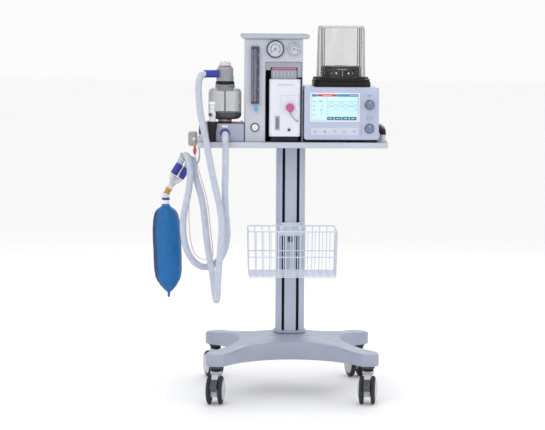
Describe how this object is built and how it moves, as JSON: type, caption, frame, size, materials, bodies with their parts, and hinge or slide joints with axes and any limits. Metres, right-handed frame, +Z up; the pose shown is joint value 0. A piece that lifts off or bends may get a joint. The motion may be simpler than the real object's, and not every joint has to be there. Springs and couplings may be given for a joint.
{
  "type": "anesthesia machine",
  "caption": "Wheeled anesthesia machine: column trolley with shelf, gas tower, vaporizer, absorber, ventilator with bellows, wire basket, hoses and breathing bag.",
  "frame": {"origin": "on the floor under the middle of the machine's box, without the breathing circuit", "axes": "+Z up, +X to the operator's right, front towards -Y"},
  "size_m": [0.8378, 0.6376, 1.33],
  "materials": {
    "base_shell": "smooth moulded blue-grey plastic",
    "frame_steel": "black powder coat",
    "column_alloy": "satin powder-coated extrusion",
    "shelf_sheet": "satin blue-grey paint",
    "black_plastic": "fine-grained black plastic",
    "caster_grey": "satin light grey plastic",
    "caster_tread": "dark grey tread with light hubcaps",
    "steel_bright": "bright wire",
    "beige_plastic": "satin beige plastic",
    "vent_plastic": "fine-grained pale blue-grey plastic",
    "screen": "lit screen behind a clear film",
    "knob_grey": "soft grey-blue knob",
    "clear_plastic": "clear polycarbonate",
    "smoky_plastic": "smoky translucent plastic",
    "tower_paint": "satin pale grey paint",
    "white_paint": "satin white paint",
    "flow_glass": "dark blue-grey acrylic",
    "orange_plastic": "orange float",
    "blue_cap": "light blue cap",
    "white_plastic": "white plastic",
    "needle_red": "red pointer",
    "dial_pink": "pink-purple dial",
    "block_alloy": "anodised block",
    "wire_coat": "plastic-coated wire",
    "green_plastic": "dark green knob",
    "hose_plastic": "translucent corrugated hose",
    "cuff_blue": "soft blue cuff",
    "amber_plastic": "amber elbow",
    "bag_rubber": "satin blue latex-free bag",
    "line_plastic": "thin pinkish clear line"
  },
  "bodies": {
    "root": {"base_cover": "base_shell", "base_frame": "frame_steel", "column": "column_alloy", "column_foot": "column_alloy", "shelf": "shelf_sheet", "handle_left": "black_plastic", "handle_right": "black_plastic", "hook_block": "beige_plastic", "hose_hook": "steel_bright", "vent_case": "vent_plastic", "vent_screen": "screen", "bellows_base": "black_plastic", "bellows": "black_plastic", "bellows_dome": "clear_plastic", "tower_housing": "tower_paint", "tower_tray": "tower_paint", "flowmeter": "flow_glass", "gauge_large": "white_plastic", "gauge_small": "white_plastic", "vaporizer_body": "white_paint", "vaporizer_lid": "smoky_plastic", "circuit_block": "block_alloy", "absorber_canister": "clear_plastic", "absorber_head": "smoky_plastic", "popoff_valve": "black_plastic", "hose_inspiratory": "hose_plastic", "hose_expiratory": "hose_plastic", "sampling_line": "line_plastic", "cuff_upper": "cuff_blue", "cuff_lower": "cuff_blue", "y_piece": "cuff_blue", "bag_elbow": "amber_plastic", "breathing_bag": "bag_rubber"},
    "caster_fl": {"caster_fl_fork": "caster_grey"},
    "caster_fl_wheel_pair": {"caster_fl_wheels": "caster_tread"},
    "caster_fl_brake_pedal": {"caster_fl_pedal": "black_plastic"},
    "caster_fr": {"caster_fr_fork": "caster_grey"},
    "caster_fr_wheel_pair": {"caster_fr_wheels": "caster_tread"},
    "caster_fr_brake_pedal": {"caster_fr_pedal": "black_plastic"},
    "caster_rl": {"caster_rl_fork": "caster_grey"},
    "caster_rl_wheel_pair": {"caster_rl_wheels": "caster_tread"},
    "caster_rr": {"caster_rr_fork": "caster_grey"},
    "caster_rr_wheel_pair": {"caster_rr_wheels": "caster_tread"},
    "vent_knob_upper_body": {"vent_knob_upper": "knob_grey"},
    "vent_knob_lower_body": {"vent_knob_lower": "knob_grey"},
    "bellows_top": {"bellows_disc": "black_plastic"},
    "float": {"flow_float": "orange_plastic"},
    "flow_knob_body": {"flow_knob": "blue_cap"},
    "flush": {"flush_button": "white_plastic"},
    "needle_large_body": {"needle_large": "needle_red"},
    "needle_small_body": {"needle_small": "needle_red"},
    "dial": {"vaporizer_dial": "dial_pink"},
    "absorber_cap": {"absorber_knob": "white_plastic"},
    "popoff_cap": {"popoff_knob": "white_plastic"},
    "basket": {"basket_front": "wire_coat", "basket_back": "wire_coat", "basket_left": "wire_coat", "basket_right": "wire_coat", "basket_floor": "wire_coat"},
    "basket_clamp": {"basket_knob": "green_plastic"}
  },
  "joints": [
    {"name": "caster_fl_swivel", "type": "hinge", "parent": "root", "child": "caster_fl", "pos_m": [-0.23846, -0.22308, 0.11], "axis": [0, 0, 1], "continuous": true},
    {"name": "caster_fl_spin", "type": "hinge", "parent": "caster_fl", "child": "caster_fl_wheel_pair", "pos_m": [-0.24235, -0.25081, 0.05], "axis": [0.9903, -0.1392, 0], "continuous": true},
    {"name": "caster_fl_brake", "type": "hinge", "parent": "caster_fl", "child": "caster_fl_brake_pedal", "pos_m": [-0.24597, -0.27655, 0.084], "axis": [0.9903, -0.1392, 0], "range_deg": [0, 16]},
    {"name": "caster_fr_swivel", "type": "hinge", "parent": "root", "child": "caster_fr", "pos_m": [0.29954, -0.22308, 0.11], "axis": [0, 0, 1], "continuous": true},
    {"name": "caster_fr_spin", "type": "hinge", "parent": "caster_fr", "child": "caster_fr_wheel_pair", "pos_m": [0.29565, -0.25081, 0.05], "axis": [0.9903, -0.1392, 0], "continuous": true},
    {"name": "caster_fr_brake", "type": "hinge", "parent": "caster_fr", "child": "caster_fr_brake_pedal", "pos_m": [0.29203, -0.27655, 0.084], "axis": [0.9903, -0.1392, 0], "range_deg": [0, 16]},
    {"name": "caster_rl_swivel", "type": "hinge", "parent": "root", "child": "caster_rl", "pos_m": [-0.23846, 0.23692, 0.11], "axis": [0, 0, 1], "continuous": true},
    {"name": "caster_rl_spin", "type": "hinge", "parent": "caster_rl", "child": "caster_rl_wheel_pair", "pos_m": [-0.24664, 0.2637, 0.05], "axis": [-0.9563, -0.2924, 0], "continuous": true},
    {"name": "caster_rr_swivel", "type": "hinge", "parent": "root", "child": "caster_rr", "pos_m": [0.29954, 0.23692, 0.11], "axis": [0, 0, 1], "continuous": true},
    {"name": "caster_rr_spin", "type": "hinge", "parent": "caster_rr", "child": "caster_rr_wheel_pair", "pos_m": [0.29136, 0.2637, 0.05], "axis": [-0.9563, -0.2924, 0], "continuous": true},
    {"name": "vent_knob_upper_turn", "type": "hinge", "parent": "root", "child": "vent_knob_upper_body", "pos_m": [0.30054, -0.15508, 1.052], "axis": [0, -1, 0], "continuous": true},
    {"name": "vent_knob_lower_turn", "type": "hinge", "parent": "root", "child": "vent_knob_lower_body", "pos_m": [0.30054, -0.15508, 0.968], "axis": [0, -1, 0], "continuous": true},
    {"name": "bellows_rise", "type": "slide", "parent": "root", "child": "bellows_top", "axis": [0, 0, 1], "range_m": [0, 0.1], "deforming": ["bellows"]},
    {"name": "float_rise", "type": "slide", "parent": "root", "child": "float", "axis": [0, 0, 1], "range_m": [0, 0.17]},
    {"name": "flow_knob_turn", "type": "hinge", "parent": "root", "child": "flow_knob_body", "pos_m": [-0.10046, -0.13008, 1.035], "axis": [0, -1, 0], "range_deg": [0, 540]},
    {"name": "flush_press", "type": "slide", "parent": "root", "child": "flush", "axis": [0, 1, 0], "range_m": [0, 0.004], "stiffness_N_per_m": 600},
    {"name": "gauge_large_needle_turn", "type": "hinge", "parent": "root", "child": "needle_large_body", "pos_m": [-0.03296, -0.13208, 1.246], "axis": [0, 1, 0], "range_deg": [0, 270], "stiffness_Nm_per_rad": 0.0005},
    {"name": "gauge_small_needle_turn", "type": "hinge", "parent": "root", "child": "needle_small_body", "pos_m": [0.03354, -0.13208, 1.247], "axis": [0, 1, 0], "range_deg": [0, 270], "stiffness_Nm_per_rad": 0.0003},
    {"name": "vaporizer_dial_turn", "type": "hinge", "parent": "root", "child": "dial", "pos_m": [0.01954, -0.15508, 1.041], "axis": [0, -1, 0], "range_deg": [0, 300]},
    {"name": "absorber_knob_turn", "type": "hinge", "parent": "root", "child": "absorber_cap", "pos_m": [-0.20946, -0.07008, 1.19], "axis": [0, 0, 1], "range_deg": [0, 90]},
    {"name": "popoff_turn", "type": "hinge", "parent": "root", "child": "popoff_cap", "pos_m": [-0.25446, -0.14258, 1.055], "axis": [0, 0, 1], "range_deg": [0, 270]},
    {"name": "basket_height", "type": "slide", "parent": "root", "child": "basket", "axis": [0, 0, 1], "range_m": [-0.15, 0.15]},
    {"name": "basket_knob_turn", "type": "hinge", "parent": "basket", "child": "basket_clamp", "pos_m": [0.03054, -0.01708, 0.556], "axis": [0, -1, 0], "continuous": true}
  ]
}
